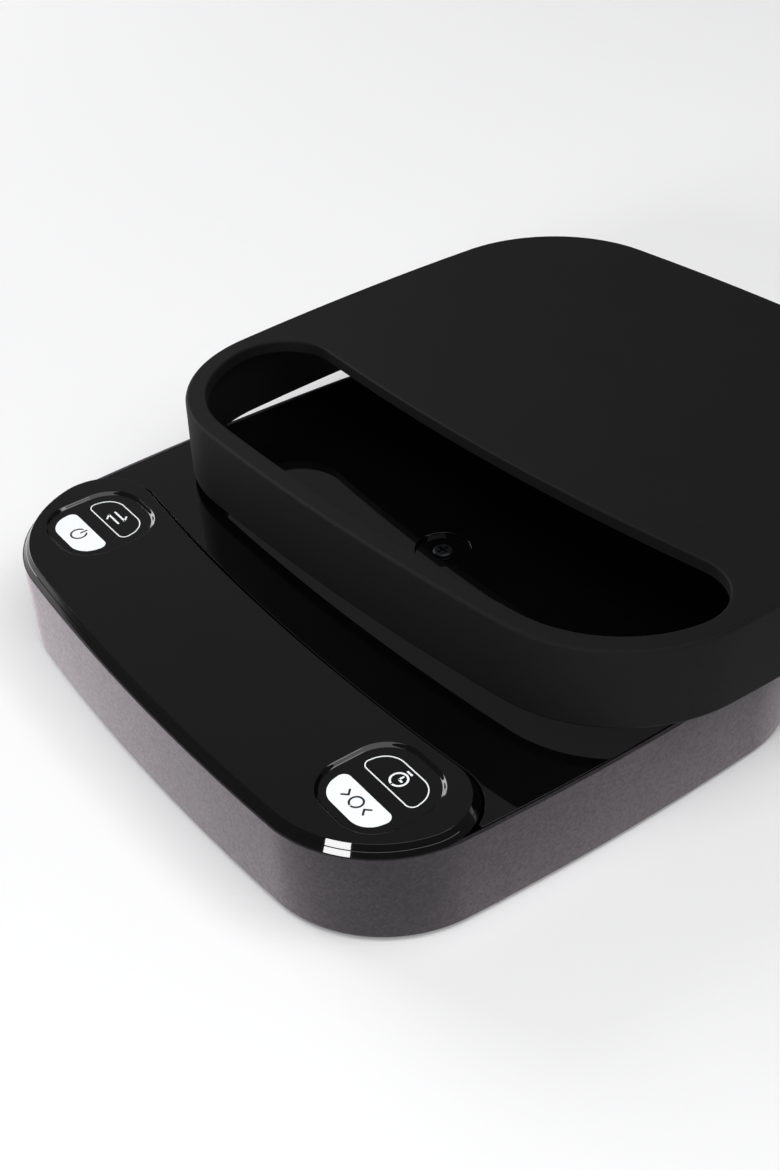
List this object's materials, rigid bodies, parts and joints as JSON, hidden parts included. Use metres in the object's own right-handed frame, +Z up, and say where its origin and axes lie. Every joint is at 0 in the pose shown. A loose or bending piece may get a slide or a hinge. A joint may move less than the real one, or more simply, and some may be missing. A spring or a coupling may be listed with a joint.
{
  "type": "kitchen scale",
  "caption": "Low rounded kitchen scale with a raised glossy touch panel along its front, a floating glossy weighing deck and a matte cap with a window, laid on top.",
  "frame": {"origin": "middle of the assembly's box, at the level of the feet", "axes": "+Z up, -Y towards the control panel's front edge, +X to the right of a person facing it"},
  "size_m": [0.164, 0.19, 0.0448],
  "materials": {
    "shell_paint": "satin gunmetal paint on moulded plastic",
    "gloss_black": "high gloss black",
    "cover_black": "matte black",
    "housing_black": "fine matte moulding",
    "foot_rubber": "soft matte",
    "steel": "bright zinc plate",
    "cell_aluminium": "milled",
    "board_green": "solder mask",
    "display_dark": "smooth",
    "foam": "conductive foam",
    "battery_wrap": "printed sleeve",
    "wire_sheath": "soft sheath"
  },
  "bodies": {
    "base": {"outer_shell": "shell_paint", "bottom_housing": "housing_black", "control_panel": "gloss_black", "load_cell": "cell_aluminium", "cell_screws": "steel", "overload_stops": "steel", "housing_screws": "steel", "main_board": "board_green", "board_screws": "steel", "display_module": "display_dark", "buzzer": "display_dark", "touch_pad_power": "foam", "touch_pad_mode": "foam", "touch_pad_tare": "foam", "touch_pad_timer": "foam", "battery_front": "battery_wrap", "battery_rear": "battery_wrap", "contact_left": "steel", "contact_right": "steel", "cell_wire": "wire_sheath", "battery_wire": "wire_sheath", "foot_front_left": "foot_rubber", "foot_front_right": "foot_rubber", "foot_rear_left": "foot_rubber", "foot_rear_right": "foot_rubber"},
    "platform": {"weighing_platform": "gloss_black", "platform_screw": "steel", "platform_carrier": "steel", "cell_spacer": "cell_aluminium", "carrier_screws": "steel"},
    "battery_door": {"battery_door": "housing_black"},
    "cover": {"cover": "cover_black"}
  },
  "joints": [
    {"name": "platform_press", "type": "slide", "parent": "base", "child": "platform", "axis": [0, 0, -1], "range_m": [0, 0.0005], "stiffness_N_per_m": 60000, "deforming": ["load_cell"]},
    {"name": "battery_door_hinge", "type": "hinge", "parent": "base", "child": "battery_door", "pos_m": [-0.03578, -0.00672, 0.0008], "axis": [1, 0, 0], "range_deg": [0, 75]},
    {"name": "cover_lift", "type": "slide", "parent": "base", "child": "cover", "axis": [0, 0, 1], "range_m": [0, 0.06]}
  ]
}
